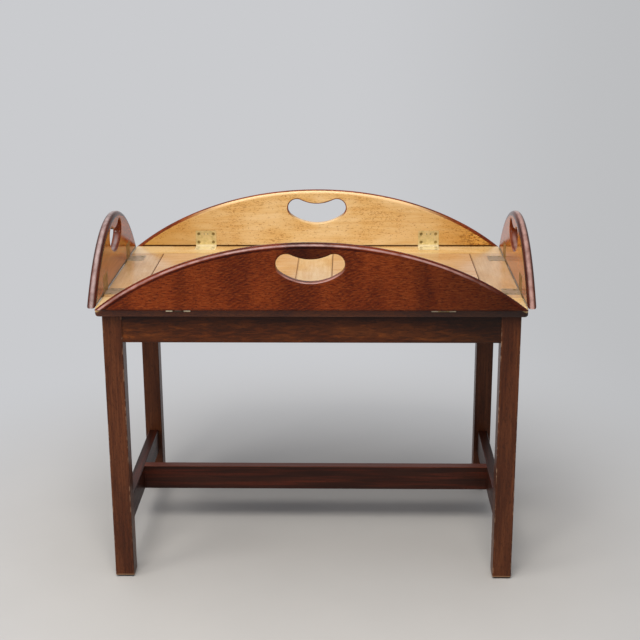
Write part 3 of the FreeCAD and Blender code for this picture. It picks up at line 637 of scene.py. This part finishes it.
cleatPlaces = [Matrix.Translation((s * screwLook["cleatX"], y, cleatHeight)) @ headDown
               for s in (-1, 1) for y in screwLook["cleatY"]]
setScrews("cleatScrews", screws["cleat"], cleatPlaces, "tray", "cleat_screws", metals["spring"])
print("screws set")

# Stage: a sheet of matt painted floor, pale and faintly mottled; away from the table it is seen as the
# grey of a studio backdrop, whose light falls off a little towards the right. floorFall, in metres, and
# worldFall give the camera the same shade where the sheet ends. The mottle is sized in mm.
stageLook = {
    "size": 2.6, "middle": (0, 0.1, 0), "fade": (0.3, 1.15),
    "floor": "#B2B0AE", "rough": 0.8, "specular": 0.2,
    "mottleSize": 166.67, "mottleDetail": 3, "mottleFrom": (0.3, 0.7), "mottleTo": (0.985, 1.015),
    "backdrop": "#CACBCE", "dim": "#BDBEC0", "floorFall": (0.0, 0.86), "worldFall": (-0.017, 0.218),
}


def seenRays(tree):
    # 1 for rays that show a background: straight to the camera, or by way of what is shiny or clear
    rays = add(tree, "ShaderNodeLightPath").outputs
    bent = add(tree, "ShaderNodeMath", {0: rays["Is Glossy Ray"], 1: rays["Is Transmission Ray"]},
               operation="MAXIMUM")
    return add(tree, "ShaderNodeMath", {0: rays["Is Camera Ray"], 1: bent.outputs[0]},
               operation="MAXIMUM").outputs[0]


def backdropGrey(tree, sideways, span):
    return add(tree, "ShaderNodeMix", {"Factor": softMask(tree, (sideways, span)),
               6: linear(stageLook["backdrop"]), 7: linear(stageLook["dim"])}, data_type="RGBA").outputs[2]


floorMesh = bpy.data.meshes.new("studioFloor")
half = stageLook["size"] / 2
corners = [(-half, -half, 0), (half, -half, 0), (half, half, 0), (-half, half, 0)]
floorMesh.from_pydata(corners, [], [(0, 1, 2, 3)])
floor = bpy.data.objects.new("studioFloor", floorMesh)
scene.collection.objects.link(floor)
material, tree = newMaterial("paintedFloorMatt")
spot = add(tree, "ShaderNodeTexCoord").outputs["Object"]
mottle = add(tree, "ShaderNodeTexNoise", {"Vector": spot, "Scale": metre / stageLook["mottleSize"],
             "Detail": stageLook["mottleDetail"]})
level = add(tree, "ShaderNodeMapRange", {"Value": mottle.outputs["Fac"],
            "From Min": stageLook["mottleFrom"][0], "From Max": stageLook["mottleFrom"][1],
            "To Min": stageLook["mottleTo"][0], "To Max": stageLook["mottleTo"][1]})
paint = add(tree, "ShaderNodeVectorMath", {0: linear(stageLook["floor"])[:3], "Scale": level.outputs[0]},
            operation="SCALE")
shader = add(tree, "ShaderNodeBsdfPrincipled", {"Base Color": paint.outputs[0],
             "Roughness": stageLook["rough"], "Specular IOR Level": stageLook["specular"]})
away = add(tree, "ShaderNodeVectorMath", {0: spot, 1: stageLook["middle"]}, operation="ADD")
away = add(tree, "ShaderNodeVectorMath", {0: away.outputs[0]}, operation="LENGTH")
share = softMask(tree, (away.outputs["Value"], stageLook["fade"]), seenRays(tree))
sideways = add(tree, "ShaderNodeSeparateXYZ", {0: spot}).outputs["X"]
even = add(tree, "ShaderNodeEmission", {"Color": backdropGrey(tree, sideways, stageLook["floorFall"])})
ground = add(tree, "ShaderNodeMixShader", {0: share, 1: shader.outputs[0], 2: even.outputs[0]})
add(tree, "ShaderNodeOutputMaterial", {"Surface": ground.outputs[0]})
floorMesh.materials.append(material)

# World: dim at the horizon, brighter overhead like a white ceiling; the camera, polish and brass see the
# backdrop's grey.
worldLook = {"low": "#7A7B80", "high": "#A4A6AA", "rise": (0.0, 0.9), "strength": 1.0}
world = bpy.data.worlds.new("studioRoom")
world.use_nodes = True
tree = world.node_tree
tree.nodes.clear()
outlook = add(tree, "ShaderNodeTexCoord").outputs["Generated"]
ways = add(tree, "ShaderNodeSeparateXYZ", {0: outlook}).outputs
room = add(tree, "ShaderNodeMix", {"Factor": softMask(tree, (ways["Z"], worldLook["rise"])),
           6: linear(worldLook["low"]), 7: linear(worldLook["high"])}, data_type="RGBA")
seen = add(tree, "ShaderNodeMix", {"Factor": seenRays(tree), 6: room.outputs[2],
           7: backdropGrey(tree, ways["X"], stageLook["worldFall"])}, data_type="RGBA")
background = add(tree, "ShaderNodeBackground", {"Color": seen.outputs[2], "Strength": worldLook["strength"]})
add(tree, "ShaderNodeOutputWorld", {"Surface": background.outputs[0]})
scene.world = world

# Lamps: a wide softbox high in front, which draws the shadows, a large one overhead and a weak one at
# the left.
lampLook = {
    "strip": {"at": (-0.22, -1.86, 2.7), "aim": (0, 0, 0.2), "size": (1.6, 1.0), "power": 78,
              "colour": "#FFFAF2"},
    "overhead": {"at": (-0.3, -0.1, 2.8), "aim": (0, 0, 0.4), "size": (2.4, 2.0), "power": 32,
                 "colour": "#FFFFFF"},
    "fill": {"at": (-2.4, -1.6, 1.3), "aim": (-0.1, 0, 0.4), "size": (1.2, 1.2), "power": 26,
             "colour": "#FFFAF2"},
}
for name, look in lampLook.items():
    lamp = bpy.data.lights.new(name + "Softbox", "AREA")
    lamp.shape = "RECTANGLE"
    lamp.size, lamp.size_y = look["size"]
    lamp.energy = look["power"]
    lamp.color = linear(look["colour"])[:3]
    holder = bpy.data.objects.new(name + "Softbox", lamp)
    holder.location = look["at"]
    holder.rotation_euler = (Vector(look["aim"]) - Vector(look["at"])).to_track_quat("-Z", "Y").to_euler()
    scene.collection.objects.link(holder)

# Camera, from the photograph's perspective: yaw, pitch and roll in degrees, lens and sensor in mm.
cameraLook = {"at": (0.059575, -2.135721, 1.031492), "yaw": -1.341, "pitch": 16.693, "roll": -0.286,
              "lens": 72.49, "sensor": 36}
yaw, pitch, roll = [math.radians(cameraLook[key]) for key in ("yaw", "pitch", "roll")]
ahead = Vector((math.sin(yaw) * math.cos(pitch), math.cos(yaw) * math.cos(pitch), -math.sin(pitch)))
level = ahead.cross(Vector((0, 0, 1))).normalized()
above = level.cross(ahead)
right = math.cos(roll) * level + math.sin(roll) * above
up = math.cos(roll) * above - math.sin(roll) * level
cameraData = bpy.data.cameras.new("camera")
cameraData.lens = cameraLook["lens"]
cameraData.sensor_width = cameraLook["sensor"]
camera = bpy.data.objects.new("camera", cameraData)
camera.matrix_world = Matrix((right, up, -ahead)).transposed().to_4x4()
camera.location = cameraLook["at"]
scene.collection.objects.link(camera)
scene.camera = camera
print("stage, lamps and camera ready")
